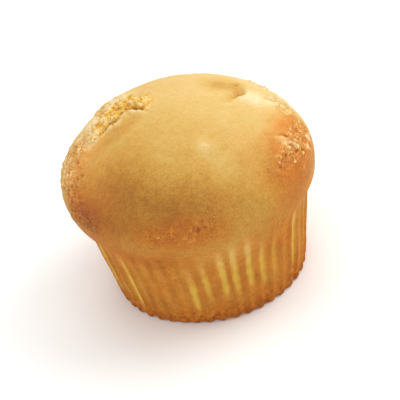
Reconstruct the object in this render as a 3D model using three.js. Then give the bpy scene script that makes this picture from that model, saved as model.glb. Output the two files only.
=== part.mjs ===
// A plain muffin, baked in a pleated paper case and turned out of it: one solid piece of cake.
// The browned side keeps the print of the case's pleats, and the domed cap spills a little over it.
// The cap has a split in its crust, with rough crumb showing, a crescent-shaped fold and shallow dimples.
//
// Millimetres and degrees, +Z up. The origin is on the plane of the flat foot that the muffin stands on,
// under the middle of the whole. Azimuths turn about +Z from +X, so the front of the muffin is at -90.
import * as THREE from "three";

// Driving dimensions.
const footRadius = 30.3; // side, carried down to the foot
const neckRadius = 35.1; // side, where the cap starts
const neckHeight = 29.7;
const capRadius = 39.0; // widest part of the cap
const capHeight = 37.8;
const fullHeight = 61.0;
const footEdge = 1.1; // rounding between foot and side
const footBorder = 2.4; // the rim of the foot that the pleats reach into
const capShift = new THREE.Vector2(-0.6, 0.4); // the cap rose a little off centre
const domePower = 1.79; // superellipse powers: 2 is a true ellipse, less is straighter
const undersidePower = 1.69;

// The print of the case's pleats: grooves up the side.
const pleatCount = 46;
const pleatPhase = -87.4; // azimuth of one groove
const pleatDepth = 0.85;
const pleatHeight = 27; // where the grooves have died out, but for the front, where they go higher
const stepsPerPleat = 4;

// Rows of the lathe, from the foot to the top.
const sideRows = 4;
const undersideRows = 5;
const domeRows = 19;

const radians = THREE.MathUtils.degToRad;
const smooth = THREE.MathUtils.smoothstep;
const wave = (degrees) => Math.sin(radians(degrees));

// A smooth swell of 1 that falls to 0 at the given reach.
const swell = (distance, reach) => 1 - smooth(Math.abs(distance), 0, reach);

// Difference of two azimuths, from -180 to 180 degrees.
const turn = (azimuth, from) => ((((azimuth - from + 180) % 360) + 360) % 360) - 180;

// Half of the section, as (radius, height) points from the axis at the foot to the axis at the top.
function section() {
  const points = [new THREE.Vector2(0, 0)];

  const footInset = footRadius - footEdge;
  points.push(new THREE.Vector2(footInset - footBorder, 0));
  for (const angle of [0, 38, 76]) {
    points.push(
      new THREE.Vector2(
        footInset + footEdge * Math.sin(radians(angle)),
        footEdge * (1 - Math.cos(radians(angle))),
      ),
    );
  }

  const sideStart = footEdge * 1.5;
  const sideEnd = neckHeight * 0.96;
  for (let row = 0; row <= sideRows; row++) {
    const height = THREE.MathUtils.lerp(sideStart, sideEnd, row / sideRows);
    const radius = THREE.MathUtils.lerp(footRadius, neckRadius, height / neckHeight);
    points.push(new THREE.Vector2(radius, height));
  }

  for (let row = 1; row <= undersideRows; row++) {
    const angle = (Math.PI / 2) * (row / undersideRows);
    points.push(
      new THREE.Vector2(
        neckRadius + (capRadius - neckRadius) * Math.sin(angle) ** (2 / undersidePower),
        capHeight - (capHeight - neckHeight) * Math.cos(angle) ** (2 / undersidePower),
      ),
    );
  }

  // The rows close up towards the top, where the split and the fold are.
  const closingUp = 0.86;
  for (let row = 1; row < domeRows; row++) {
    const angle = (Math.PI / 2) * (row / domeRows) ** closingUp;
    points.push(
      new THREE.Vector2(
        capRadius * Math.cos(angle) ** (2 / domePower),
        capHeight + (fullHeight - capHeight) * Math.sin(angle) ** (2 / domePower),
      ),
    );
  }
  points.push(new THREE.Vector2(0, fullHeight));
  return points;
}

// Some pleats left hardly a mark, as where the case had come away from the cake.
function pleatStrength(azimuth) {
  const number = Math.round((azimuth - pleatPhase) / (360 / pleatCount));
  const uneven = 0.82 + 0.18 * Math.sin(THREE.MathUtils.euclideanModulo(number, pleatCount) * 2.4);
  return uneven * (1 - 0.72 * swell(turn(azimuth, -114), 22)) * (1 - 0.35 * swell(turn(azimuth, 58), 30));
}

// Radial depth of the grooves.
function pleatPrint(azimuth, radius, height) {
  const groove = 0.5 + 0.5 * Math.cos(radians((azimuth - pleatPhase) * pleatCount));
  const top = pleatHeight + 5 * swell(turn(azimuth, -80), 22);
  const upwards = 1 - smooth(height, top - 8, top + 4);
  const underFoot = smooth(radius, footRadius - footEdge - footBorder, footRadius - 0.4);
  return pleatDepth * pleatStrength(azimuth) * groove * upwards * underFoot;
}

// The side isn't quite round, and at the front it swells out under the cap, which hardly overhangs there.
function sideSwell(azimuth, radius, height) {
  const outOfRound =
    0.3 * swell(turn(azimuth, -38), 34) -
    0.7 * swell(turn(azimuth, -110), 30) -
    0.25 * wave(2 * azimuth + 40);
  const front = 1.7 * swell(turn(azimuth, -84), 52) * swell(height - neckHeight, 15);
  const onCap = smooth(height, neckHeight, capHeight);
  return outOfRound * smooth(radius, 20, footRadius) * (1 - onCap) + front;
}

// Broad unevenness of the risen cap, along its surface's own direction outwards.
function capLumps(azimuth, radius) {
  const towardsRim =
    0.38 * wave(2 * azimuth - 122) +
    0.13 * wave(3 * azimuth + 162) -
    0.15 * wave(4 * azimuth + 23);
  const halfWay = -0.2 * wave(2 * azimuth + 20);
  return smooth(radius, 6, 30) * towardsRim + swell(radius - 20, 14) * halfWay;
}

// Craggy crust round the cap's rim: on the right, on the left and at the lip in front.
// Two trains of waves cross, each bent by slower ones so that the crags don't line up.
function rimCrags(azimuth, height) {
  const where =
    swell(turn(azimuth, -24), 34) * swell(height - 45, 11) +
    swell(turn(azimuth, -172), 36) * swell(height - 44, 13) +
    0.7 * swell(turn(azimuth, -99), 24) * swell(height - 37, 5);
  const around = wave(53 * azimuth + 21 * height + 90 * wave(13 * azimuth - 17 * height));
  const upwards = wave(44 * height - 19 * azimuth + 80 * wave(11 * azimuth + 23 * height));
  return 0.5 * where * around * upwards;
}

// Where the crust split: a line through these places on the cap, seen from above.
const splitLine = [
  [-24.8, 1.2],
  [-21.6, 1.8],
  [-18.8, 2.7],
  [-16.5, 2.6],
  [-14.4, 3.6],
  [-12.2, 3.7],
  [-10.2, 2.2],
  [-8.3, -0.4],
].map(([x, y]) => new THREE.Vector3(x, y, 0));
const splitCurve = new THREE.CatmullRomCurve3(splitLine);
const splitPlaces = splitCurve.getPoints(70);
const splitHalfWidth = 2.4;
const splitDepth = 1.9;
const lipHeight = 0.75;
const bridgeAlong = 0.46; // a bridge of crumb parts the split in two

// The nearest place on the split: how far along it is, from 0 to 1, and how far to its side.
function besideSplit(x, y) {
  let along = 0;
  let nearest = Infinity;
  splitPlaces.forEach((place, i) => {
    const distance = Math.hypot(x - place.x, y - place.y);
    if (distance < nearest) {
      nearest = distance;
      along = i / (splitPlaces.length - 1);
    }
  });
  const place = splitCurve.getPoint(along);
  const ahead = splitCurve.getTangent(along);
  const side = ahead.x * (y - place.y) - ahead.y * (x - place.x);
  return { along, side: Math.sign(side) * nearest };
}

// The split is a trough: steep at the front, under a puffed lip of crust, and gentle at the back.
function splitRelief(x, y) {
  const { along, side } = besideSplit(x, y);
  const taper = Math.sin(Math.PI * THREE.MathUtils.clamp(along, 0, 1)) ** 0.6;
  const halfWidth = splitHalfWidth * (0.45 + 0.55 * taper);
  const reach = side < 0 ? halfWidth * 0.8 : halfWidth * 1.9;
  const bridge = 1 - 0.5 * swell(along - bridgeAlong, 0.13);
  const trough = splitDepth * bridge * taper * (1 - smooth(Math.abs(side), 0.25 * reach, reach));
  const lip = lipHeight * taper * swell(side + halfWidth * 1.3, halfWidth * 1.4);
  return lip - trough;
}

// A crescent fold near the top, on the right: the crust sank inside it and stands up outside it.
const foldCentre = new THREE.Vector2(13.6, 6.6);
const foldRadius = 7.6;
const foldDepth = 1.0;
const foldFacing = 8; // azimuth that the crescent faces
const foldReach = 105;

function foldRelief(x, y) {
  const distance = Math.hypot(x - foldCentre.x, y - foldCentre.y);
  const azimuth = THREE.MathUtils.radToDeg(Math.atan2(y - foldCentre.y, x - foldCentre.x));
  const sinking = smooth(distance, 0.1 * foldRadius, 0.82 * foldRadius);
  const edge = 1 - smooth(distance, 0.86 * foldRadius, foldRadius);
  const raised = 0.4 * swell(distance - 1.3 * foldRadius, 0.4 * foldRadius);
  return swell(turn(azimuth, foldFacing), foldReach) * (raised - foldDepth * sinking * edge);
}

// Shallow dimples: one on the front of the cap, the others at its back.
const dimples = [
  { x: 5.6, y: -24.1, reach: 4.2, depth: 0.5 },
  { x: 8.0, y: 27.0, reach: 5.5, depth: 0.55 },
  { x: -26.6, y: 19.7, reach: 5.5, depth: 0.5 },
  { x: 31.6, y: 15.6, reach: 7.0, depth: 0.3 },
];

function dimpleRelief(x, y) {
  let relief = 0;
  for (const { x: centreX, y: centreY, reach, depth } of dimples) {
    relief -= depth * swell(Math.hypot(x - centreX, y - centreY), reach);
  }
  return relief;
}

// Moves each point of the plain lathe: the side in and out, and the cap along its own direction outwards.
function shape(geometry) {
  const position = geometry.getAttribute("position");
  const normal = geometry.getAttribute("normal");
  const point = new THREE.Vector3();
  const outwards = new THREE.Vector3();
  for (let i = 0; i < position.count; i++) {
    point.fromBufferAttribute(position, i);
    outwards.fromBufferAttribute(normal, i);
    const radius = Math.hypot(point.x, point.y);
    const azimuth = THREE.MathUtils.radToDeg(Math.atan2(point.y, point.x));
    const height = point.z;
    const onCap = smooth(height, neckHeight, capHeight);
    const onDome = smooth(height, capHeight, capHeight + 6);

    if (radius > 0) {
      const grown = sideSwell(azimuth, radius, height) - pleatPrint(azimuth, radius, height);
      point.x *= (radius + grown) / radius;
      point.y *= (radius + grown) / radius;
    }
    if (onCap > 0) {
      const marks =
        splitRelief(point.x, point.y) + foldRelief(point.x, point.y) + dimpleRelief(point.x, point.y);
      const relief = onCap * (capLumps(azimuth, radius) + rimCrags(azimuth, height)) + onDome * marks;
      point.addScaledVector(outwards, relief);
    }
    point.x += capShift.x * onCap;
    point.y += capShift.y * onCap;
    position.setXYZ(i, point.x, point.y, point.z);
  }
}

// The lathe turns about Y, so it is stood up before its points are moved.
function muffinGeometry() {
  const geometry = new THREE.LatheGeometry(section(), pleatCount * stepsPerPleat);
  geometry.rotateX(Math.PI / 2);
  shape(geometry);
  geometry.computeBoundingBox();
  const { min, max } = geometry.boundingBox;
  geometry.translate(-(min.x + max.x) / 2, -(min.y + max.y) / 2, -min.z);
  geometry.computeVertexNormals();
  return geometry;
}

const cake = new THREE.MeshStandardMaterial({ color: 0xd9a04e, roughness: 0.75, metalness: 0 });

const muffin = new THREE.Mesh(muffinGeometry(), cake);
muffin.name = "muffin";

const group = new THREE.Group();
group.add(muffin);

export default group;
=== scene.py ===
import bisect
import math
import random

import bmesh
import bpy
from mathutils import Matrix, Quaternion, Vector, noise
from mathutils.bvhtree import BVHTree


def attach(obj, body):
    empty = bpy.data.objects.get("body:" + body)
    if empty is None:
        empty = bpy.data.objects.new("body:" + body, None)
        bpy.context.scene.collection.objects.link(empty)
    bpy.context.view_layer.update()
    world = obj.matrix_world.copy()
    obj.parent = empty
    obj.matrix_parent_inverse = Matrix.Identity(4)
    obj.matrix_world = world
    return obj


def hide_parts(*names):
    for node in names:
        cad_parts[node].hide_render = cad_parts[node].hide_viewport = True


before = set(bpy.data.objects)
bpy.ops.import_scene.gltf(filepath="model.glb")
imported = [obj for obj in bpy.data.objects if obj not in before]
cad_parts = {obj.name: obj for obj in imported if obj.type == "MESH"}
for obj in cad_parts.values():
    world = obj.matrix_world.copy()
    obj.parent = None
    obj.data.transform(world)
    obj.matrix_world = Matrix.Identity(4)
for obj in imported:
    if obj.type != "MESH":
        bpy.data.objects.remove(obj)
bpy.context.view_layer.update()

scene = bpy.context.scene
mm = 0.001
noise.seed_set(12)  # without a seed noise_vector differs from run to run


def smooth(value, low, high):
    t = min(max((value - low) / (high - low), 0), 1)
    return t * t * (3 - 2 * t)


def swell(distance, reach):  # 1 in the middle, 0 at the reach
    return 1 - smooth(abs(distance), 0, reach)


def turn(azimuth, start):  # from -180 to 180
    return (azimuth - start + 180) % 360 - 180


def wave(degrees):
    return math.sin(math.radians(degrees))


def mix(a, b, share):
    return a + (b - a) * share


# camera

view = {
    "aim": (1.45, -3.63, 26.79),
    "distance": 450,
    "elevation": 35.07,
    "roll": 13.46,  # the muffin's top leans to the left
    "lens": 132.93,
}


def placeCamera():
    elevation = math.radians(view["elevation"])
    back = Vector((0, -math.cos(elevation), math.sin(elevation)))
    camera = bpy.data.objects.new("camera", bpy.data.cameras.new("camera"))
    camera.data.lens = view["lens"]
    camera.data.sensor_width = 36
    camera.data.clip_start = 0.01
    camera.location = (Vector(view["aim"]) + back * view["distance"]) * mm
    camera.rotation_mode = "QUATERNION"
    rolled = Quaternion((0, 0, 1), -math.radians(view["roll"]))
    camera.rotation_quaternion = back.to_track_quat("Z", "Y") @ rolled
    scene.collection.objects.link(camera)
    scene.camera = camera


placeCamera()
print("camera placed")

# the muffin's main form: sizes shared with the solid

cake = {
    "footRadius": 30.3,
    "footEdge": 1.1,
    "footBorder": 2.4,
    "neckRadius": 35.1,
    "neckHeight": 29.7,
    "capRadius": 39.0,
    "capHeight": 37.8,
    "fullHeight": 61.0,
    "capShift": (-0.6, 0.4),
    "domePower": 1.79,
    "undersidePower": 1.69,
    "pleats": 46,
    "pleatPhase": -87.4,
    "pleatDepth": 0.85,
    "pleatHeight": 27,
    "faintPleats": ((-114, 22, 0.72), (58, 30, 0.35)),  # azimuth and its reach, and how much shallower
    "fillet": (1.4, 4.0),  # under the cap, at its tightest and at its widest
    "filletWidest": (-66, 60),  # azimuth and its reach
    "stepsPerPleat": 4,  # before the finer cuts
    "spacing": {
        "sole": 2.8,
        "border": 1.0,
        "edge": 0.7,
        "side": 1.2,
        "underside": 1.0,
        "rim": 1.05,
        "top": 0.6,
    },
    "topRadius": 19,  # inside it the dome needs no finer cut
    "soleBorder": 4,  # nor does the sole further in than this
}


def evenly(place, spacing):  # evenly spaced points on a curve that place(0 to 1) gives
    count = 200
    line = [place(step / count) for step in range(count + 1)]
    reach = [0]
    for start, end in zip(line, line[1:]):
        reach.append(reach[-1] + math.dist(start, end))
    parts = max(round(reach[-1] / spacing), 1)
    points, index = [], 0
    for part in range(1, parts + 1):
        target = reach[-1] * part / parts
        while index < count - 1 and reach[index + 1] < target:
            index += 1
        share = (target - reach[index]) / (reach[index + 1] - reach[index])
        points.append(tuple(mix(a, b, share) for a, b in zip(line[index], line[index + 1])))
    return points


def undersideLine(t):
    out, up = math.sin(math.pi / 2 * t), abs(math.cos(math.pi / 2 * t))
    radius = mix(cake["neckRadius"], cake["capRadius"], out ** (2 / cake["undersidePower"]))
    return radius, mix(cake["capHeight"], cake["neckHeight"], up ** (2 / cake["undersidePower"]))


def domeLine(t):
    out, up = abs(math.cos(math.pi / 2 * t)), math.sin(math.pi / 2 * t)
    height = mix(cake["capHeight"], cake["fullHeight"], up ** (2 / cake["domePower"]))
    return cake["capRadius"] * out ** (2 / cake["domePower"]), height


def sectionPoints():
    c, spacing = cake, cake["spacing"]
    inset = c["footRadius"] - c["footEdge"]
    flat = inset - c["footBorder"]
    edgeTurn = math.radians(76)
    edgeEnd = (inset + c["footEdge"] * math.sin(edgeTurn), c["footEdge"] * (1 - math.cos(edgeTurn)))
    topStart = math.acos((c["topRadius"] / c["capRadius"]) ** (c["domePower"] / 2)) / (math.pi / 2)

    def edge(t):
        return inset + c["footEdge"] * math.sin(edgeTurn * t), c["footEdge"] * (1 - math.cos(edgeTurn * t))

    def side(t):
        return mix(edgeEnd[0], c["neckRadius"], t), mix(edgeEnd[1], c["neckHeight"], t)

    return (
        [(0, 0)]
        + evenly(lambda t: (flat * t, 0), spacing["sole"])
        + evenly(lambda t: (mix(flat, inset, t), 0), spacing["border"])
        + evenly(edge, spacing["edge"])
        + evenly(side, spacing["side"])
        + evenly(undersideLine, spacing["underside"])
        + evenly(lambda t: domeLine(topStart * t), spacing["rim"])
        + evenly(lambda t: domeLine(mix(topStart, 1, t)), spacing["top"])[:-1]
        + [(0, c["fullHeight"])]
    )


def turnedCake():
    bm = bmesh.new()
    verts = [bm.verts.new((radius, 0, height)) for radius, height in sectionPoints()]
    edges = [bm.edges.new(pair) for pair in zip(verts, verts[1:])]
    bmesh.ops.spin(
        bm,
        geom=verts + edges,
        cent=(0, 0, 0),
        axis=(0, 0, 1),
        angle=math.tau,
        steps=cake["pleats"] * cake["stepsPerPleat"],
        use_merge=True,
    )
    bmesh.ops.remove_doubles(bm, verts=bm.verts, dist=0.001)
    bmesh.ops.recalc_face_normals(bm, faces=bm.faces)
    return bm


def cutFiner(bm, chosen):
    faces = [face for face in bm.faces if chosen(face.calc_center_median())]
    edges = dict.fromkeys(edge for face in faces for edge in face.edges)  # each edge once
    bmesh.ops.subdivide_edges(bm, edges=list(edges), cuts=1, use_grid_fill=True)


def seenFace(centre):
    soleRadius = cake["footRadius"] - cake["soleBorder"]
    return math.hypot(centre.x, centre.y) > (cake["topRadius"] if centre.z > 1 else soleRadius)


def craggyFace(centre):
    azimuth = math.degrees(math.atan2(centre.y, centre.x))
    return tornFace(centre) or cragZones(azimuth, centre.z)[0] > 0.2


def tornFace(centre):
    (left, right), (front, back), low = split["torn"]
    return left < centre.x < right and front < centre.y < back and centre.z > low


def lipFace(centre):
    return tornFace(centre) and abs(besideLine(centre.x, centre.y, split["lip"])[1] - 0.1) < 1.2


# relief that the solid has too, at a finer scale here


def grooveNumber(azimuth):
    return round((azimuth - cake["pleatPhase"]) / (360 / cake["pleats"])) % cake["pleats"]


def grooveStrength(azimuth):
    strength = 0.82 + 0.18 * math.sin(grooveNumber(azimuth) * 2.4)
    for middle, reach, shallower in cake["faintPleats"]:
        strength *= 1 - shallower * swell(turn(azimuth, middle), reach)
    return strength


def grooveShape(azimuth):  # 1 in the flat of a groove, 0 on the ridge
    rise = 0.5 + 0.5 * math.cos(math.radians((azimuth - cake["pleatPhase"]) * cake["pleats"]))
    return smooth(rise, 0.1, 0.85)


def pleatPrint(azimuth, radius, height):
    top = cake["pleatHeight"] + 5 * swell(turn(azimuth, -80), 22)
    upwards = 1 - smooth(height, top - 8, top + 4)
    inset = cake["footRadius"] - cake["footEdge"]
    underFoot = smooth(radius, inset - cake["footBorder"], cake["footRadius"] - 0.4)
    return cake["pleatDepth"] * grooveStrength(azimuth) * grooveShape(azimuth) * upwards * underFoot


def sideSwell(azimuth, radius, height):
    outOfRound = (
        0.3 * swell(turn(azimuth, -38), 34)
        - 0.7 * swell(turn(azimuth, -110), 30)
        - 0.25 * wave(2 * azimuth + 40)
    )
    front = 1.7 * swell(turn(azimuth, -84), 52) * swell(height - cake["neckHeight"], 15)
    onCap = smooth(height, cake["neckHeight"], cake["capHeight"])
    return outOfRound * smooth(radius, 20, cake["footRadius"]) * (1 - onCap) + front


def neckTable():  # the section above the neck, with each point's distance from the corner
    corner = (cake["neckRadius"], cake["neckHeight"])
    line = evenly(undersideLine, 0.25) + evenly(lambda t: domeLine(0.2 * t), 0.25)
    return [(0, *corner)] + [(math.dist(corner, point), *point) for point in line]


neckLine = neckTable()


def neckPlace(away):  # radius and height, this far along the section from the corner under the cap
    if away <= 0:
        slant = (cake["neckRadius"] - cake["footRadius"]) / cake["neckHeight"]
        return cake["neckRadius"] + away * slant, cake["neckHeight"] + away
    index = min(bisect.bisect(neckLine, (away,)), len(neckLine) - 1)
    (near, *start), (far, *end) = neckLine[index - 1 : index + 1]
    share = (away - near) / (far - near)
    return mix(start[0], end[0], share), mix(start[1], end[1], share)


def neckFillet(azimuth, radius, height):  # rounds the corner, most at the front right: how far out and up
    middle, span = cake["filletWidest"]
    rounding = mix(*cake["fillet"], swell(turn(azimuth, middle), span))
    away = math.hypot(radius - cake["neckRadius"], height - cake["neckHeight"])
    if away > 2.2 * rounding:
        return 0, 0
    reach = rounding * (1 - smooth(away, rounding, 2.2 * rounding))
    along = away if height >= cake["neckHeight"] else -away
    out, up = neckPlace(along)
    places = [neckPlace(along + reach * step / 3) for step in range(-3, 4)]
    shares = (1, 2, 3, 4, 3, 2, 1)
    eased = [sum(share * place[axis] for share, place in zip(shares, places)) / 16 for axis in (0, 1)]
    return eased[0] - out, eased[1] - up


def capLumps(azimuth, radius):
    towardsRim = (
        0.38 * wave(2 * azimuth - 122)
        + 0.13 * wave(3 * azimuth + 162)
        - 0.15 * wave(4 * azimuth + 23)
    )
    halfWay = -0.2 * wave(2 * azimuth + 20)
    return smooth(radius, 6, 30) * towardsRim + swell(radius - 20, 14) * halfWay


# the split: its front lip seen from above, and the torn crumb behind it

split = {
    "lip": [
        (-26.0, -1.6),
        (-24.0, -1.0),
        (-21.8, -0.8),
        (-20.4, 0.0),
        (-18.6, 0.2),
        (-16.9, -0.1),
        (-16.1, 1.0),
        (-15.3, 2.3),
        (-13.8, 3.0),
        (-12.2, 2.7),
        (-10.4, 1.1),
        (-8.4, -0.7),
        (-7.4, -1.6),
    ],
    "depth": 3.1,
    "pockets": ((0.32, 0.25), (0.73, 0.22)),  # where along the lip the two pockets are, and their reach
    "farWall": (2.4, 5.6),  # from the lip to level crumb again, at the split's ends and in its middle
    "bridge": 0.6,
    "lipHeight": 0.85,
    # strength of the painted highlight on the lip's crest and the painted shade in front of it
    "paintedLipLight": 0.36,
    "overhang": 0.45,
    "tornReach": 12.5,
    "torn": ((-28, -6.5), (-3.5, 16), 51),  # x, y and lowest z of the faces that are cut finer
    "box": ((-31, -3), (-7, 20)),  # x and y, with no relief outside
}


def besideLine(x, y, line):  # how far along the line, from 0 to 1, and how far to its side
    nearest, along, side = 1e9, 0, 0
    for index, (start, end) in enumerate(zip(line, line[1:])):
        ahead = (end[0] - start[0], end[1] - start[1])
        reach = ahead[0] ** 2 + ahead[1] ** 2
        share = ((x - start[0]) * ahead[0] + (y - start[1]) * ahead[1]) / reach
        share = min(max(share, 0), 1)
        offX, offY = x - start[0] - share * ahead[0], y - start[1] - share * ahead[1]
        distance = math.hypot(offX, offY)
        if distance < nearest:
            nearest = distance
            along = (index + share) / (len(line) - 1)
            side = math.copysign(distance, ahead[0] * offY - ahead[1] * offX)
    return along, side


def softNoise(place, size, seed=0):
    return noise.noise(place / size + Vector((seed * 7.3, seed * 3.1, seed * 5.7)))


def blisters(place, size, seed=0):  # burst bubbles: 1 on the walls between them, about 0 in their hollows
    spot = place / size + Vector((seed * 7.3, seed * 3.1, seed * 5.7))
    spot += 0.4 * noise.noise_vector(spot * 0.8)
    distances, middles = noise.voronoi(spot)
    deep = 0.6 + 0.4 * noise.cell(middles[0] * 13)
    return 1 - deep * smooth(distances[1] - distances[0], 0.02, 0.34)


def splitRelief(place):  # height, share of bare crumb, and the lip's painted highlight, below 0 where painted shade falls in front of the lip
    (left, right), (front, back) = split["box"]
    if not (left <= place.x <= right and front <= place.y <= back):
        return 0, 0, 0
    ragged = place + Vector((softNoise(place, 1.7, 1), softNoise(place, 1.7, 2), 0)) * 0.5
    along, side = besideLine(ragged.x, ragged.y, split["lip"])
    taper = max(math.sin(math.pi * along), 0) ** 0.6
    if taper < 0.02:
        return 0, 0, 0
    backEdge = split["tornReach"] * taper * (0.9 + 0.35 * softNoise(place, 4, 3))
    lip = split["lipHeight"] * swell(side + 0.8, 3.0) * (1 + 0.5 * softNoise(place, 2.4, 3))
    wall = smooth(side, -0.1, 0.45)
    pocket = max(smooth(swell(along - middle, reach), 0, 0.55) for middle, reach in split["pockets"])
    farWall = mix(*split["farWall"], swell(along - 0.5, 0.5)) * (1 + 0.25 * softNoise(place, 2.5, 4))
    climb = smooth(side, 0.25 * farWall, farWall)
    torn = -split["depth"] * pocket * (1 - climb)
    torn += split["bridge"] * (1 - pocket) * swell(side - 2.5, 4.5)
    torn += 0.3 * swell(side - backEdge - 0.4, 1.8)
    ending = smooth(taper + 0.3 * softNoise(place, 1.6, 10), 0.15, 0.5)
    crumb = wall * (1 - smooth(side, backEdge - 1.4, backEdge + 0.6)) * ending
    rough = 0.8 * softNoise(place, 2.6, 5) + 0.6 * softNoise(place, 1.2, 6)
    rough += 0.45 * softNoise(place, 0.65, 11)
    rough += 0.25 * (blisters(place, 1.7, 4) - 0.5) + 0.15 * (blisters(place, 0.8, 12) - 0.5)
    rough *= mix(1, 0.6, pocket * (1 - climb))
    # painted highlight along the lip's crest
    lipHighlightAndShade = swell(side + 0.7, 1.3) * taper * (0.7 + 0.6 * softNoise(place, 1.5, 9))
    lipHighlightAndShade -= 0.3 * swell(side + 4.8, 3.8) * taper  # painted shade in front of the lip
    return mix(lip, torn, wall) * taper + crumb * rough, crumb, lipHighlightAndShade


def lipOverhang(place):
    along, side = besideLine(place.x, place.y, split["lip"])
    if side < -2 or side > 0.6:
        return 0
    taper = max(math.sin(math.pi * along), 0) ** 0.6
    return split["overhang"] * taper * smooth(side, -2, -0.2) * (1 - smooth(side, 0, 0.6))


# a soft fold near the top: a hollow that ends in a short crease with a crest beside it; shade is painted
# into the hollow and the crease, and a highlight onto the crest

fold = {
    "line": [
        (12.8, -6.6),
        (15.4, -3.7),
        (17.8, -0.9),
        (19.7, 1.2),
        (21.2, 3.3),
        (21.6, 6.0),
        (21.4, 9.4),
        (20.8, 12.8),
    ],
    "deepest": 0.56,  # how far along the line
    "creaseDepth": 1.8,
    "creaseWidth": (0.8, 3.6),  # on the crest's side and on the hollow's
    "crest": 0.5,
    "hollow": (15.8, 9.6),
    "hollowReach": 9.5,
    "hollowDepth": 0.6,
    # how strongly painted shade darkens the hollow and the crease
    "browningAndPaintedLight": 0.40,
    "reach": 20,  # from the hollow's middle
}


def foldRelief(place):  # height, and the painted shade in its hollow and crease, less a painted highlight on its crest
    away = math.hypot(place.x - fold["hollow"][0], place.y - fold["hollow"][1])
    if away > fold["reach"]:
        return 0, 0
    hollow = swell(away, fold["hollowReach"])
    ragged = place + Vector((softNoise(place, 2, 31), softNoise(place, 2, 32), 0)) * 0.5
    along, side = besideLine(ragged.x, ragged.y, fold["line"])
    strength = swell(along - fold["deepest"], 0.56)
    steep, gentle = fold["creaseWidth"]
    crease = strength * swell(side, gentle if side > 0 else steep)
    crest = swell(side + 1.7, 1.9) * swell(along - 0.42, 0.5)
    height = fold["crest"] * crest - fold["creaseDepth"] * crease - fold["hollowDepth"] * hollow
    corner = swell(along - fold["deepest"], 0.22) * swell(side - 0.2, 1.3)
    # painted shade in the hollow, along the crease and most in its corner; a painted highlight on the crest
    darker = fold["browningAndPaintedLight"] * (hollow + strength * swell(side - 0.6, 2.8) + 1.6 * corner)
    darker -= 0.07 * crest
    return height, darker


dimples = [
    {"at": (5.6, -24.1), "reach": 4.2, "depth": 0.5},
    {"at": (8.0, 27.0), "reach": 5.5, "depth": 0.55},
    {"at": (-26.6, 19.7), "reach": 5.5, "depth": 0.5},
    {"at": (31.6, 15.6), "reach": 7.0, "depth": 0.3},
    {"at": (3.8, 21.0), "reach": 1.7, "depth": 0.7},
    {"at": (20.8, 12.5), "reach": 1.7, "depth": 0.6},
]


def dimpleRelief(place):
    total = 0
    for dimple in dimples:
        x, y = dimple["at"]
        total -= dimple["depth"] * swell(math.hypot(place.x - x, place.y - y), dimple["reach"])
    return total


# a flap of crust at the right, with a crack along its upper side

flap = {
    "line": [
        (24.2, -17.6),
        (25.8, -16.4),
        (27.4, -15.6),
        (29.2, -14.9),
        (30.8, -15.4),
        (32.4, -15.9),
        (34.2, -16.6),
    ],
    "height": 0.75,
    "crack": 0.75,
    "box": (20, (-22, -10)),  # lowest x, and y, with no relief outside
}


def flapRelief(place):
    left, (front, back) = flap["box"]
    if place.x < left or place.y < front or place.y > back:
        return 0
    ragged = place + Vector((softNoise(place, 1.2, 21), softNoise(place, 1.2, 22), 0)) * 0.5
    along, side = besideLine(ragged.x, ragged.y, flap["line"])
    taper = max(math.sin(math.pi * along), 0) ** 0.7
    return taper * (flap["height"] * swell(side + 0.5, 1.3) - flap["crack"] * swell(side - 0.75, 0.8))


# crust: craggy round the rim, smooth and finely pored elsewhere

crust = {
    "craggy": (
        # azimuth and its reach, height and its reach, strength, share of painted highlight specks
        (-19, 38, 44.8, 7.2, 1.0, 1.0),
        (6, 15, 50.0, 5.0, 0.9, 1.0),
        (-179, 40, 45.5, 9.5, 1.0, 0.45),
        (-150, 18, 41.0, 6.5, 1.0, 0.05),
        (-97, 32, 40.5, 5.5, 0.48, 0.6),
        (172, 15, 53.0, 5.5, 1.0, 0.9),
        (140, 26, 53.5, 6.0, 0.9, 0.8),
        (32, 26, 47.0, 6.0, 0.8, 0.6),
        (72, 34, 45.0, 8.0, 0.9, 0.5),
        (118, 36, 44.0, 8.5, 0.9, 0.5),
    ),
    "crags": ((2.4, 0.24), (1.2, 0.30), (0.65, 0.20)),  # size and depth of the burst bubbles
    "cragStretch": 1.6,  # they are drawn out along the rim
    "skin": ((7.0, 0.16), (2.6, 0.05), (1.2, 0.03)),  # size and depth of the soft bumps
    "poreDepth": 0.4,
}


def cragZones(azimuth, height):  # how craggy, and how much of it gets painted highlight specks
    zones = paintedGlints = 0
    for middle, reach, level, tall, strength, paintedGlinting in crust["craggy"]:
        zone = strength * swell(turn(azimuth, middle), reach) * swell(height - level, tall)
        zones += zone
        paintedGlints += zone * paintedGlinting
    return min(zones, 1), paintedGlints / max(zones, 0.001)


def cragShare(azimuth, height, place):
    zones, paintedGlints = cragZones(azimuth, height)
    if zones < 0.05:
        return 0, 0
    ragged = zones + 0.3 * softNoise(place, 4, 7) + 0.15 * softNoise(place, 1.5, 8)
    return smooth(ragged, 0.12, 0.75), paintedGlints


def cragDepth():
    return sum(depth for size, depth in crust["crags"])


def cragLumps(place):  # from about -1 in the hollows to 1 on the walls between them
    spot = Vector((place.x / crust["cragStretch"], place.y / crust["cragStretch"], place.z))
    lumps = 0
    for size, depth in crust["crags"]:
        walls = 1.2 * blisters(spot, size, size * 3) - 0.55
        lumps += depth / cragDepth() * (walls + 1.5 * softNoise(spot, 0.8 * size, size * 5))
    return lumps


def skinRelief(place):
    return sum(depth * softNoise(place, size, 10 + size) for size, depth in crust["skin"])


def pores(place, size, seed, few):  # depth of scattered pits, from 0 to 1
    distances, middles = noise.voronoi(place / size + Vector((seed, -seed, seed)))
    lot = noise.cell(middles[0] * 17)  # which of them are pits
    width = 0.12 + 0.16 * abs(noise.cell(middles[0] * 31))
    return (1 - smooth(distances[0], 0.35 * width, width)) if lot > few else 0


# pale streaks at the bottom of the grooves, where the paper kept the side from browning

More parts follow.
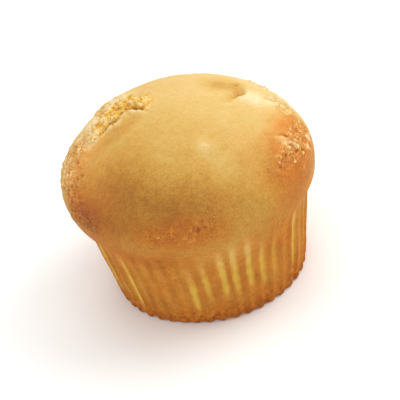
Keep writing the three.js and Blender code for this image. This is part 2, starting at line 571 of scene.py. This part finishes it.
streaks = {
    # azimuth, lower end, upper end, strength
    "shown": (
        (-165.7, 8.0, 22.0, 0.5),
        (-158.6, 5.0, 30.0, 0.9),
        (-150.0, 6.0, 20.0, 0.3),
        (-139.5, 4.5, 29.0, 0.95),
        (-134.4, 6.0, 22.0, 0.25),
        (-126.6, 8.0, 14.0, 0.12),
        (-118.7, 8.0, 17.0, 0.35),
        (-110.9, 8.0, 14.0, 0.25),
        (-103.1, 4.0, 25.0, 0.9),
        (-95.2, 8.5, 29.0, 0.85),
        (-85.8, 8.0, 34.5, 1.0),
        (-79.4, 9.0, 36.0, 1.0),
        (-71.7, 9.5, 37.0, 1.0),
        (-63.9, 8.0, 30.0, 1.0),
        (-56.1, 9.0, 28.0, 0.5),
        (-48.3, 10.0, 18.0, 0.1),
        (-40.4, 7.0, 34.0, 0.95),
        (-32.6, 8.0, 22.0, 0.25),
        (-26.6, 7.0, 33.0, 0.85),
        (-17.0, 8.0, 28.0, 0.6),
    ),
    "wide": (-149, 16, 0.28),  # azimuth and its reach where they are wider, and by how much
    "lean": (-70, 40, 0.09, 14),  # azimuth and its reach, degrees a mm, and the height that it starts from
    "highest": 42,
    "hidden": ((5, 12), (22, 33), (0.15, 0.4, 0.7, 0.9, 0.9)),  # lower end, upper end and strength, drawn
    "seed": 7,
}


def streakTable():
    draw = random.Random(streaks["seed"])
    lowers, uppers, strengths = streaks["hidden"]
    table = [
        (draw.uniform(-1, 1), draw.uniform(*lowers), draw.uniform(*uppers), draw.choice(strengths))
        for number in range(cake["pleats"])
    ]
    for azimuth, lower, upper, strength in streaks["shown"]:
        number = grooveNumber(azimuth)
        aside = turn(azimuth, cake["pleatPhase"] + number * 360 / cake["pleats"])
        table[number] = (aside, lower, upper, strength)
    return table


streakEnds = streakTable()


def streakPaleness(azimuth, height, place):
    if height > streaks["highest"]:
        return 0
    ragged = height + 1.6 * softNoise(place, 1.8, 12)
    raggedSide, uneven = 0.2 * softNoise(place, 2.0, 13), 1.0 + 0.5 * softNoise(place, 3, 14)
    pleat = 360 / cake["pleats"]
    wideMiddle, wideReach, wider = streaks["wide"]
    widened = wider * smooth(swell(turn(azimuth, wideMiddle), wideReach), 0, 0.3)
    leanMiddle, leanReach, slant, start = streaks["lean"]
    leaning = slant * swell(turn(azimuth, leanMiddle), leanReach) * (height - start)
    palest = 0
    for number in (grooveNumber(azimuth) + step for step in (-1, 0, 1)):
        aside, lower, upper, strength = streakEnds[number % cake["pleats"]]
        off = turn(azimuth + leaning, cake["pleatPhase"] + number * pleat + aside)
        if abs(off) > pleat / 2:
            continue
        ends = smooth(ragged, lower - 1.0, lower + 4.0) * (1 - smooth(ragged, upper - 12, upper + 1))
        narrow = 0.16 * (1 - smooth(ragged, lower, lower + 8)) + 0.08 * smooth(ragged, upper - 10, upper)
        across = 0.5 + 0.5 * math.cos(math.tau * off / pleat)
        shown = smooth(across + raggedSide + widened - narrow, 0.42, 0.92)
        palest = max(palest, shown * ends * strength * uneven)
    return min(palest, 1)


# baking: how far the crust has turned brown, and where it turned orange; painted highlight and shade are
# added to it in places

baking = {
    # the first 18 zones, the dome's values and the side's come from a least-squares fit by another program,
    # rounded, and some changed since
    "zones": (
        # azimuth and its reach, height and its reach, browning, blush
        (-29, 34, 42.2, 8.5, 0.29, 1.02),
        (-21, 31, 49.8, 4.8, 0.22, 1.00),
        (-141, 29, 44.1, 18.0, 0.19, 0.57),
        (-99, 33, 40.9, 6.9, 0.05, 1.25),
        (-174, 28, 49.2, 10.8, -0.10, 0.90),
        (-158, 18, 43.5, 6.5, 0.07, 0.60),
        (-99, 47, 47.3, 10.0, 0.21, 0.03),
        (-45, 22, 47.2, 9.4, 0.25, 0.54),
        (-6, 23, 45.2, 7.3, 0.31, 0.47),
        (174, 27, 43.6, 8.6, -0.15, 0.20),
        (-122, 30, 30.1, 8.1, 0.10, 0.26),
        (-68, 26, 35.6, 7.2, -0.02, -0.20),
        (147, 29, 52.7, 8.8, -0.08, 0.29),
        (-81, 25, 29.6, 9.8, -0.08, -0.17),
        (-148, 16, 42.9, 5.0, 0.16, 0.45),
        (-125, 22, 51.4, 6.4, 0.11, -0.13),
        (-66, 16, 44.4, 7.1, 0.08, 0.07),
        (-46, 24, 37.6, 6.5, 0.04, 0.36),
        (48, 26, 44.0, 8.0, 0.24, 0.60),
        (75, 32, 43.0, 9.0, 0.24, 0.75),
        (118, 30, 44.0, 9.0, 0.22, 0.70),
        (148, 22, 44.0, 8.0, 0.12, 0.50),
        (-52, 22, 55.0, 5.0, -0.05, 0.16),
        (-46, 13, 49.5, 5.5, -0.02, -0.30),
        (-108, 32, 49.0, 9.0, 0.00, -0.10),
        (-18, 22, 34.5, 6.0, -0.12, 0.00),
        (10, 22, 51.0, 6.0, 0.06, 0.06),
        (-47, 13, 22.0, 11.0, 0.03, 0.20),
    ),
    "patches": (
        # place seen from above, reach, how much browner (paler below 0); some are painted highlight and
        # shade, as noted
        # painted highlight: a pale sheen above the front dimple
        ((6.3, -20.6), 5.0, -0.28),
        # painted highlight beside the fold's crest
        ((24.0, 2.0), 8.0, -0.16),
        ((9.0, -27.0), 6.0, -0.12),
        # painted highlight on the brightly lit crust behind the split
        ((-15.6, 15.0), 8.5, -0.34),
        # these two: painted shade in front of the split's lip
        ((-19.5, -4.6), 5.0, 0.12),
        ((-14.0, -2.2), 4.5, 0.12),
        # painted shade in the small dimple at the fold's end
        ((20.8, 12.5), 1.5, 0.3),
        # painted highlight on the split's far side
        ((-25.0, 11.0), 9.0, -0.3),
        # painted highlight specks on the bubbly crust at the split's left end
        ((-26.0, 0.0), 5.5, -0.3),
        # painted highlight specks on the flap's crest
        ((28.5, -16.2), 3.6, -0.4),
    ),
    "dome": {
        "middle": 0.295,
        "right": -0.005,  # a mm, as the next two
        "front": 0.0088,
        "back": 0.003,
        "rim": 0.04,
    },
    "side": 0.66,
    "ridges": 0.12,  # how much darker the ridges are than the grooves
    "foot": 0.08,
    "edge": 0.12,  # round the foot's edge
}


def zoneSum(azimuth, height, column):
    return sum(
        zone[column] * swell(turn(azimuth, zone[0]), zone[1]) * swell(height - zone[2], zone[3])
        for zone in baking["zones"]
    )


def browningAndPaintedLight(azimuth, height, place):
    onDome = smooth(height, 36, 44)
    shade = baking["dome"]
    dome = shade["middle"] + shade["right"] * place.x
    dome += shade["front"] * max(-place.y, 0)
    dome += shade["back"] * max(place.y - 8, 0)
    dome += shade["rim"] * (1 - smooth(height, 39, 50))
    for (x, y), reach, darker in baking["patches"]:
        dome += darker * swell(math.hypot(place.x - x, place.y - y), reach)
    fluted = 1 - smooth(height, 24, 36)
    side = baking["side"] + fluted * baking["ridges"] * (0.6 - grooveShape(azimuth))
    drawnOut = Vector((place.x, place.y, place.z * 0.25))
    side += fluted * (0.10 * softNoise(drawnOut, 2.4, 41) + 0.07 * softNoise(place, 1.5, 42))
    burnt = 1 - smooth(height + 2.5 * softNoise(place, 4, 43), 1, 9)
    side += baking["edge"] * (1 - smooth(height, 0.8, 3.5))
    side += burnt * (baking["foot"] + 0.5 * softNoise(place, 0.9, 44))
    bakedAndLit = mix(side, dome, onDome) + zoneSum(azimuth, height, 4)
    bakedAndLit += (
        0.05 * softNoise(place, 9, 15)
        + 0.04 * softNoise(place, 3, 16)
        + 0.04 * softNoise(place, 1.1, 17)
    )
    return min(max(bakedAndLit, 0), 1)


def blushing(azimuth, height, place):
    blush = 0.70 * (1 - smooth(height, 31, 42)) + 0.4 * (1 - smooth(height, 1, 10))
    blush += zoneSum(azimuth, height, 5)
    blush += 0.18 * softNoise(place, 6, 18) + 0.10 * softNoise(place, 2, 19)
    return min(max(blush, -0.12), 1)  # below 0 the warm specks are fewer


def formCake(bm, layers):  # the main form with its split, fold and dimples, and the baking, with painted shade and highlights in the split and the fold
    bm.normal_update()
    for vert in bm.verts:
        lathe = vert.co.copy()
        outwards = vert.normal.copy()
        radius = math.hypot(lathe.x, lathe.y)
        azimuth = math.degrees(math.atan2(lathe.y, lathe.x))
        height = lathe.z
        onCap = smooth(height, cake["neckHeight"], cake["capHeight"])
        onDome = smooth(height, cake["capHeight"], cake["capHeight"] + 6)
        if radius > 0.01:
            out, up = neckFillet(azimuth, radius, height)
            grown = sideSwell(azimuth, radius, height) - pleatPrint(azimuth, radius, height) + out
            vert.co.x *= (radius + grown) / radius
            vert.co.y *= (radius + grown) / radius
            vert.co.z += up
        relief = onCap * capLumps(azimuth, radius)
        brownedAndLit, crumb = browningAndPaintedLight(azimuth, height, lathe), 0
        if onDome > 0:
            splitHeight, crumb, lipLightAndShade = splitRelief(lathe)
            folded, darker = foldRelief(lathe)
            relief += onDome * (splitHeight + folded + dimpleRelief(lathe) + flapRelief(lathe))
            vert.co.y += lipOverhang(lathe)
            # painted shade in the fold, and the lip's painted highlight with painted shade in front of it
            brownedAndLit += onDome * (darker - split["paintedLipLight"] * lipLightAndShade)
            uneven = 0.45 * softNoise(lathe, 1.1, 46) + 0.3 * softNoise(lathe, 2.8, 47)
            # bare crumb is pale on top and darker the deeper it lies in the split: painted shade in the
            # pockets
            brownedAndLit = mix(brownedAndLit, 0.22 + 0.8 * smooth(-splitHeight, -0.2, 2.2) + uneven, crumb)
        vert.co += outwards * relief
        vert.co.x += cake["capShift"][0] * onCap
        vert.co.y += cake["capShift"][1] * onCap

        craggy, paintedGlints = cragShare(azimuth, height, lathe)
        vert[layers["crag"]] = craggy * (1 - crumb)
        vert[layers["paintedGlint"]] = paintedGlints
        vert[layers["crumb"]] = crumb * onDome
        vert[layers["streak"]] = streakPaleness(azimuth, height, lathe)
        vert[layers["browningAndPaintedLight"]] = brownedAndLit
        vert[layers["blush"]] = blushing(azimuth, height, lathe)


def roughenCrust(bm, layers):  # soft bumps, pits and crags over the main form, with painted shade in the pits and the crags' hollows and painted highlight specks on the crags' walls
    bm.normal_update()
    for vert in bm.verts:
        place = vert.co.copy()
        side = 1 - smooth(place.z, cake["neckHeight"], cake["capHeight"])
        nearFoot = 1 - smooth(place.z, 2, 9)
        relief = skinRelief(place) * mix(1, 0.7, side)
        relief += 0.07 * side * softNoise(place, 0.9, 45) + 0.1 * softNoise(place, 0.9, 44) * nearFoot
        pitted = pores(place, 2.2, 3.7, 0.1) * side * 0.6
        pitted += pores(place, 1.6, 8.1, -0.5) * nearFoot
        relief *= smooth(place.z, 0, 1.2)  # the flat foot has only pits
        relief -= crust["poreDepth"] * pitted
        # the pits are darkened: painted shade
        brownedAndLit = vert[layers["browningAndPaintedLight"]] + 0.35 * pitted
        share = vert[layers["crag"]]
        if share > 0:
            lumps = cragLumps(place)
            relief += share * cragDepth() * lumps
            paintedGlints = vert[layers["paintedGlint"]]
            grains = smooth(lumps + 0.9 * softNoise(place, 0.9, 33), 0.2, 0.7)
            paintedGlint = paintedGlints * grains * smooth(softNoise(place, 2.2, 30), -0.15, 0.25)
            # painted shade in the crags' hollows and painted highlight specks on their walls
            brownedAndLit += share * (0.28 * smooth(-lumps, -0.1, 0.5) - 0.65 * paintedGlint)
        vert[layers["browningAndPaintedLight"]] = min(max(brownedAndLit, 0), 1)
        vert.co += vert.normal * relief


def makeMuffin():
    bm = turnedCake()
    cutFiner(bm, seenFace)
    cutFiner(bm, craggyFace)
    cutFiner(bm, lipFace)
    print("turned and cut:", sum(len(face.verts) - 2 for face in bm.faces), "triangles")
    names = ("browningAndPaintedLight", "blush", "streak", "crumb", "crag", "paintedGlint")
    layers = {name: bm.verts.layers.float.new(name) for name in names}
    formCake(bm, layers)
    roughenCrust(bm, layers)
    low = Vector([min(vert.co[axis] for vert in bm.verts) for axis in range(3)])
    high = Vector([max(vert.co[axis] for vert in bm.verts) for axis in range(3)])
    centred = Vector((-(low.x + high.x) / 2, -(low.y + high.y) / 2, -low.z))
    bmesh.ops.translate(bm, verts=bm.verts, vec=centred)
    bmesh.ops.scale(bm, verts=bm.verts, vec=(mm, mm, mm))
    bmesh.ops.recalc_face_normals(bm, faces=bm.faces)
    for face in bm.faces:
        face.smooth = True
    mesh = bpy.data.meshes.new("muffinCake")
    bm.to_mesh(mesh)
    bm.free()
    muffin = bpy.data.objects.new("muffinCake", mesh)
    scene.collection.objects.link(muffin)
    print("muffin shaped, moved by", [round(v, 3) for v in centred])
    return muffin, centred


muffin, muffinShift = makeMuffin()

# loose crumbs that cling in the split and to the crust

crumbs = {
    # place seen from above, reach, how many, size
    "spots": (
        ((-18.5, 3.0), 3.0, 8, (0.15, 0.35)),
        ((-12.8, 5.5), 3.5, 8, (0.15, 0.35)),
        ((-15.5, 10.0), 5.0, 12, (0.15, 0.4)),
        ((-25.5, 1.0), 4.0, 8, (0.12, 0.28)),
        ((31.0, -10.0), 6.0, 8, (0.12, 0.3)),
        ((29.0, -19.0), 5.0, 6, (0.12, 0.3)),
        ((21.8, -26.0), 0.4, 2, (0.35, 0.45)),
        ((2.9, -37.0), 1.6, 5, (0.16, 0.28)),
        ((-13.0, -36.6), 0.3, 1, (0.3, 0.35)),
        ((-2.0, -38.0), 9.0, 6, (0.15, 0.25)),
        ((-34.0, -10.0), 8.0, 4, (0.12, 0.22)),
        ((0.0, 0.0), 37.0, 4, (0.1, 0.18)),
    ),
    "seed": 21,
    "proportions": (1.5, 0.75, 0.5),
    "lift": 0.1,  # how far a crumb's middle stands off the crust, as a share of its size
}


def makeCrumbs():
    draw = random.Random(crumbs["seed"])
    top = BVHTree.FromObject(muffin, bpy.context.evaluated_depsgraph_get())
    bm = bmesh.new()
    for (spotX, spotY), reach, count, (smallest, largest) in crumbs["spots"]:
        for number in range(count):
            away, azimuth = reach * math.sqrt(draw.random()), draw.uniform(0, math.tau)
            size = draw.uniform(smallest, largest)
            turned = Vector((draw.uniform(-1, 1), draw.uniform(-1, 1), draw.uniform(-1, 1)))
            above = Vector((spotX + away * math.cos(azimuth), spotY + away * math.sin(azimuth), 80))
            landed, slope = top.ray_cast((above + muffinShift) * mm, Vector((0, 0, -1)))[:2]
            if landed is None or slope.z < 0.1:
                continue
            made = bmesh.ops.create_icosphere(bm, subdivisions=2, radius=1)["verts"]
            for vert in made:
                lumpy = 1 + 0.7 * noise.noise(vert.co * 1.1 + turned * 9)
                lumpy += 0.3 * noise.noise(vert.co * 2.7 + turned * 5)
                vert.co *= lumpy
            bmesh.ops.scale(bm, verts=made, vec=[size * mm * share for share in crumbs["proportions"]])
            bmesh.ops.rotate(bm, verts=made, matrix=turned.to_track_quat("Z", "Y").to_matrix())
            bmesh.ops.translate(bm, verts=made, vec=landed + slope * size * mm * crumbs["lift"])
    for face in bm.faces:
        face.smooth = True
    mesh = bpy.data.meshes.new("looseCrumbs")
    bm.to_mesh(mesh)
    bm.free()
    piece = bpy.data.objects.new("looseCrumbs", mesh)
    scene.collection.objects.link(piece)
    print("crumbs scattered:", len(mesh.polygons), "faces")
    return piece


looseCrumbs = makeCrumbs()

# materials


def addNode(tree, kind, at, inputs=None, **settings):
    made = tree.nodes.new(kind)
    made.location = at
    for name, value in settings.items():
        setattr(made, name, value)
    for name, value in (inputs or {}).items():
        if isinstance(value, bpy.types.NodeSocket):
            tree.links.new(value, made.inputs[name])
        else:
            made.inputs[name].default_value = value
    return made


def colourRamp(tree, at, share, stops):
    ramp = addNode(tree, "ShaderNodeValToRGB", at, {"Fac": share})
    elements = ramp.color_ramp.elements
    while len(elements) < len(stops):
        elements.new(0.5)
    for element, (position, colour) in zip(elements, stops):
        element.position = position
        element.color = (*colour, 1)
    return ramp.outputs["Color"]


def attribute(tree, name, at):
    return addNode(tree, "ShaderNodeAttribute", at, attribute_name=name).outputs["Fac"]


def mixColours(tree, at, share, first, second, blend="MIX"):
    made = addNode(tree, "ShaderNodeMix", at, data_type="RGBA", blend_type=blend)
    for socket, value in zip((made.inputs[0], made.inputs[6], made.inputs[7]), (share, first, second)):
        if isinstance(value, bpy.types.NodeSocket):
            tree.links.new(value, socket)
        elif isinstance(value, tuple):
            socket.default_value = (*value, 1)
        else:
            socket.default_value = value
    return made.outputs[2]


def maths(tree, at, operation, *values, clamp=False):
    made = addNode(tree, "ShaderNodeMath", at, operation=operation, use_clamp=clamp)
    for socket, value in zip(made.inputs, values):
        if isinstance(value, bpy.types.NodeSocket):
            tree.links.new(value, socket)
        else:
            socket.default_value = value
    return made.outputs[0]


def shareAlong(tree, at, value, low, high):  # 0 below the low place and 1 above the high one, both in mm
    return addNode(
        tree,
        "ShaderNodeMapRange",
        at,
        {"Value": value, "From Min": low * mm, "From Max": high * mm},
        interpolation_type="SMOOTHSTEP",
    ).outputs["Result"]


def bakedGrainGroup():
    group = bpy.data.node_groups.new("bakedGrain", "ShaderNodeTree")
    for name, value in (("Grain Size", 0.6), ("Mottle", 0.12), ("Bubbles", 0.3)):
        socket = group.interface.new_socket(name, in_out="INPUT", socket_type="NodeSocketFloat")
        socket.default_value = value
    for name in ("Tint", "Warmth", "Height"):
        group.interface.new_socket(name, in_out="OUTPUT", socket_type="NodeSocketFloat")
    given = addNode(group, "NodeGroupInput", (-900, 0))
    place = addNode(group, "ShaderNodeTexCoord", (-900, 300)).outputs["Object"]
    perMetre = maths(group, (-700, 0), "DIVIDE", 1000.0, given.outputs["Grain Size"])
    fine = addNode(
        group,
        "ShaderNodeTexNoise",
        (-450, 300),
        {"Vector": place, "Scale": perMetre, "Detail": 3.0, "Roughness": 0.6},
    )
    broadScale = maths(group, (-700, -200), "MULTIPLY", perMetre, 0.3)
    broad = addNode(
        group,
        "ShaderNodeTexNoise",
        (-450, 50),
        {"Vector": place, "Scale": broadScale, "Detail": 2.0},
    )
    cellScale = maths(group, (-700, -400), "MULTIPLY", perMetre, 0.5)
    cells = addNode(
        group,
        "ShaderNodeTexVoronoi",
        (-450, -250),
        {"Vector": place, "Scale": cellScale},
        feature="F1",
    )
    stronger = maths(group, (-300, 350), "MULTIPLY", fine.outputs["Fac"], 1.6)
    weaker = maths(group, (-300, 150), "MULTIPLY", broad.outputs["Fac"], 0.6)
    both = maths(group, (-200, 200), "ADD", stronger, weaker)
    centred = maths(group, (-50, 200), "SUBTRACT", both, 1.1)
    tint = maths(group, (100, 200), "MULTIPLY", centred, given.outputs["Mottle"])
    hues = addNode(group, "ShaderNodeSeparateColor", (-200, 450), {"Color": fine.outputs["Color"]})
    warm = maths(group, (-50, 450), "SUBTRACT", hues.outputs["Green"], 0.5)
    warmth = maths(group, (100, 450), "MULTIPLY", warm, given.outputs["Mottle"])
    dome = maths(group, (-200, -250), "MULTIPLY", cells.outputs["Distance"], given.outputs["Bubbles"])
    height = maths(group, (0, -100), "SUBTRACT", fine.outputs["Fac"], dome)
    addNode(group, "NodeGroupOutput", (450, 0), {"Tint": tint, "Warmth": warmth, "Height": height})
    return group


def useGroup(tree, group, at, inputs):
    made = tree.nodes.new("ShaderNodeGroup")
    made.node_tree = group
    made.location = at
    for name, value in inputs.items():
        made.inputs[name].default_value = value
    return made


bakedGrain = bakedGrainGroup()

muffinFinish = {
    # from the palest crust to the darkest, first where it stayed golden and then where it turned orange
    "golden": (
        (0.00, (0.80, 0.63, 0.36)),
        (0.20, (0.66, 0.455, 0.165)),
        (0.40, (0.61, 0.385, 0.105)),
        (0.60, (0.54, 0.295, 0.058)),
        (0.80, (0.41, 0.18, 0.028)),
        (1.00, (0.28, 0.10, 0.020)),
    ),
    "orange": (
        (0.00, (0.84, 0.58, 0.28)),
        (0.25, (0.71, 0.345, 0.085)),
        (0.60, (0.58, 0.20, 0.027)),
        (1.00, (0.34, 0.092, 0.015)),
    ),
    "streak": (0.69, 0.425, 0.068),
    "streakTop": (0.72, 0.45, 0.14),
    "crumb": (
        (0.00, (0.85, 0.66, 0.32)),
        (0.25, (0.75, 0.455, 0.08)),
        (0.55, (0.60, 0.29, 0.036)),
        (1.00, (0.32, 0.11, 0.010)),
    ),
    "mottle": 0.29,
    "warmth": 3.0,
    "tornMottle": 1.8,  # how much more mottled the crags and the crumb are
    "roughness": (0.60, 0.80),  # on the cap and on the side
    "gloss": (0.08, 0.12),  # coat on the smooth cap and on the crags
}


def crustMaterial():
    finish = muffinFinish
    material = bpy.data.materials.new("muffinCrust")
    material.use_nodes = True
    tree = material.node_tree
    tree.nodes.clear()
    objectPlace = addNode(tree, "ShaderNodeTexCoord", (-1300, 700)).outputs["Object"]
    grainInputs = {"Grain Size": 0.55, "Mottle": finish["mottle"], "Bubbles": 0.35}
    grain = useGroup(tree, bakedGrain, (-1300, -300), grainInputs)
    blush = attribute(tree, "blush", (-1300, 350))
    brownedAndLit = attribute(tree, "browningAndPaintedLight", (-1300, 200))
    streak = attribute(tree, "streak", (-1300, 50))
    crumb = attribute(tree, "crumb", (-1300, -100))
    crag = attribute(tree, "crag", (-1300, -600))
    uneven = maths(tree, (-1100, -450), "ADD", crag, crumb, clamp=True)
    rougher = maths(tree, (-900, -450), "MULTIPLY_ADD", uneven, finish["tornMottle"], 1.0)
    mottled = maths(tree, (-1100, 200), "MULTIPLY_ADD", grain.outputs["Tint"], rougher, brownedAndLit, clamp=True)
    golden = colourRamp(tree, (-900, 400), mottled, finish["golden"])
    orange = colourRamp(tree, (-900, 150), mottled, finish["orange"])
    specks = grain.outputs["Warmth"]
    warmer = maths(tree, (-1100, 350), "MULTIPLY_ADD", specks, finish["warmth"], blush, clamp=True)
    colour = mixColours(tree, (-600, 250), warmer, golden, orange)
    height = addNode(tree, "ShaderNodeSeparateXYZ", (-900, 700), {"Vector": objectPlace}).outputs["Z"]
    upwards = shareAlong(tree, (-700, 700), height, cake["pleatHeight"] - 9, cake["pleatHeight"] + 3)
    onCap = shareAlong(tree, (-700, 900), height, cake["neckHeight"] - 1, cake["capHeight"] + 2)
    streakColour = mixColours(tree, (-450, 500), upwards, finish["streak"], finish["streakTop"])
    colour = mixColours(tree, (-450, 250), streak, colour, streakColour)
    torn = colourRamp(tree, (-900, -100), mottled, finish["crumb"])
    colour = mixColours(tree, (-300, 250), crumb, colour, torn)
    smoothGloss, cragGloss = finish["gloss"]
    capGloss = maths(tree, (-400, -100), "MULTIPLY", onCap, smoothGloss)
    glossy = maths(tree, (-200, -150), "MULTIPLY_ADD", crag, cragGloss, capGloss)
    capRoughness, sideRoughness = finish["roughness"]
    roughness = maths(tree, (-200, 0), "MULTIPLY_ADD", onCap, capRoughness - sideRoughness, sideRoughness)
    grainHeight = maths(tree, (-200, -350), "MULTIPLY", grain.outputs["Height"], rougher)
    bump = addNode(
        tree,
        "ShaderNodeBump",
        (0, -300),
        {"Height": grainHeight, "Strength": 0.45, "Distance": 0.00025},
    )
    surface = addNode(
        tree,
        "ShaderNodeBsdfPrincipled",
        (300, 200),
        {
            "Base Color": colour,
            "Roughness": roughness,
            "Normal": bump.outputs["Normal"],
            "Specular IOR Level": 0.12,
            "Coat Weight": glossy,
            "Coat Roughness": 0.25,
            "Subsurface Weight": 0.12,
            "Subsurface Scale": 0.0015,
            "Subsurface Radius": (1.0, 0.5, 0.2),
            "IOR": 1.4,
        },
    )
    addNode(tree, "ShaderNodeOutputMaterial", (600, 200), {"Surface": surface.outputs["BSDF"]})
    return material


crumbFinish = {"pale": (0.70, 0.40, 0.12), "golden": (0.58, 0.26, 0.045), "roughness": 0.7}


def crumbMaterial():
    material = bpy.data.materials.new("looseCrumb")
    material.use_nodes = True
    tree = material.node_tree
    tree.nodes.clear()
    grain = useGroup(tree, bakedGrain, (-700, 0), {"Grain Size": 0.5, "Mottle": 1.6, "Bubbles": 0.6})
    share = maths(tree, (-500, 100), "ADD", grain.outputs["Tint"], 0.45, clamp=True)
    colour = mixColours(tree, (-300, 200), share, crumbFinish["pale"], crumbFinish["golden"])
    bump = addNode(
        tree,
        "ShaderNodeBump",
        (-300, -200),
        {"Height": grain.outputs["Height"], "Strength": 0.6, "Distance": 0.0002},
    )
    surface = addNode(
        tree,
        "ShaderNodeBsdfPrincipled",
        (0, 200),
        {
            "Base Color": colour,
            "Roughness": crumbFinish["roughness"],
            "Normal": bump.outputs["Normal"],
            "Subsurface Weight": 0.15,
            "Subsurface Scale": 0.001,
            "Subsurface Radius": (1.0, 0.5, 0.2),
            "IOR": 1.45,
        },
    )
    addNode(tree, "ShaderNodeOutputMaterial", (300, 200), {"Surface": surface.outputs["BSDF"]})
    return material


muffin.data.materials.append(crustMaterial())
looseCrumbs.data.materials.append(crumbMaterial())
print("materials made")

# floor and light

stage = {
    "floorSize": 6.0,
    "floorColour": (0.93, 0.93, 0.925),
    "worldColour": (1.0, 1.0, 0.99),
    "worldStrength": 0.50,
    "lightsAim": (0, 0, 0.035),
    "lights": (
        # name, place, size, watts, colour
        ("above", (0.10, 0.02, 0.65), 0.80, 2.0, (1.0, 1.0, 0.98)),
        ("right", (0.50, 0.10, 0.45), 0.60, 2.2, (1.0, 1.0, 0.98)),
        ("behind", (0.05, 0.62, 0.36), 0.60, 1.1, (1.0, 1.0, 1.0)),
        ("left", (-0.60, 0.10, 0.35), 0.70, 1.2, (1.0, 1.0, 1.0)),
        ("front", (-0.10, -0.60, 0.40), 0.70, 0.9, (1.0, 1.0, 1.0)),
    ),
}


def makeStage():
    bm = bmesh.new()
    bmesh.ops.create_grid(bm, x_segments=1, y_segments=1, size=stage["floorSize"] / 2)
    mesh = bpy.data.meshes.new("floor")
    bm.to_mesh(mesh)
    bm.free()
    floor = bpy.data.objects.new("floor", mesh)
    scene.collection.objects.link(floor)
    paper = bpy.data.materials.new("floorPaper")
    paper.use_nodes = True
    surface = paper.node_tree.nodes["Principled BSDF"]
    surface.inputs["Base Color"].default_value = (*stage["floorColour"], 1)
    surface.inputs["Roughness"].default_value = 0.9
    mesh.materials.append(paper)

    world = bpy.data.worlds.new("studio")
    world.use_nodes = True
    background = world.node_tree.nodes["Background"]
    background.inputs["Color"].default_value = (*stage["worldColour"], 1)
    background.inputs["Strength"].default_value = stage["worldStrength"]
    scene.world = world

    for name, place, size, watts, colour in stage["lights"]:
        lamp = bpy.data.lights.new(name, "AREA")
        lamp.shape = "DISK"
        lamp.size = size
        lamp.energy = watts
        lamp.color = colour
        light = bpy.data.objects.new(name, lamp)
        light.location = place
        towards = Vector(stage["lightsAim"]) - light.location
        light.rotation_mode = "QUATERNION"
        light.rotation_quaternion = towards.to_track_quat("-Z", "Y")
        scene.collection.objects.link(light)


makeStage()
scene.view_settings.view_transform = "Standard"
print("stage lit")

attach(muffin, "root")
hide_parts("muffin")
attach(looseCrumbs, "root")
